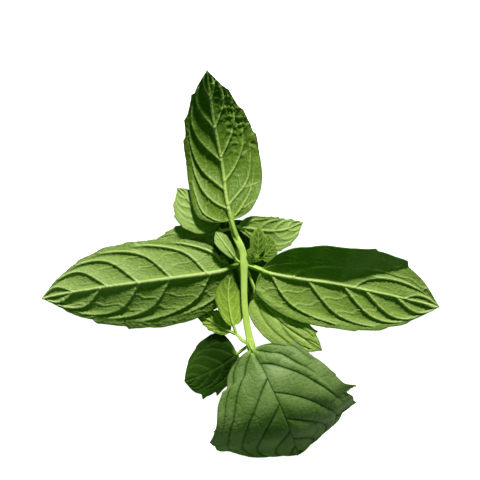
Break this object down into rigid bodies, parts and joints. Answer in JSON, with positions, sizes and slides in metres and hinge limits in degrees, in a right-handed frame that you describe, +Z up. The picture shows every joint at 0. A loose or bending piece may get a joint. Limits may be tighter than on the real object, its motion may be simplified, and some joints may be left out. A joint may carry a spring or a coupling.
{
  "type": "mint sprig",
  "caption": "Cut mint sprig lying on its leaves: a square stem with large veined leaves, small leaves and side shoots.",
  "frame": {"origin": "middle of the sprig's bounding box at the level of the surface that it lies on", "axes": "+X along the left and right leaves, +Y towards the stem's tip, +Z up, away from the surface"},
  "size_m": [0.1202, 0.116, 0.024],
  "materials": {
    "stem": "satin, faintly ribbed fresh green stem",
    "large_leaf": "matte green leaf underside with raised pale veins",
    "upper_side_leaf": "satin dark green leaf upper side with sunken veins",
    "young_leaf": "matte pale green young leaf"
  },
  "bodies": {
    "root": {"main_stem": "stem", "right_shoot_stem": "stem", "lower_shoot_stem": "stem", "top_leaf": "large_leaf", "left_leaf": "large_leaf", "right_leaf": "large_leaf", "lower_leaf": "upper_side_leaf", "shaded_leaf": "upper_side_leaf", "back_centre_leaf": "upper_side_leaf", "back_right_leaf": "young_leaf", "back_left_leaf": "young_leaf", "tip_leaf_left": "young_leaf", "tip_leaf_right": "young_leaf", "tip_bud": "young_leaf", "left_axil_leaf": "young_leaf", "right_shoot_leaf_1": "young_leaf", "right_shoot_leaf_2": "young_leaf", "right_shoot_leaf_3": "young_leaf", "right_shoot_leaf_4": "young_leaf", "lower_shoot_leaf_up": "young_leaf", "lower_shoot_leaf_out": "young_leaf"}
  },
  "joints": []
}
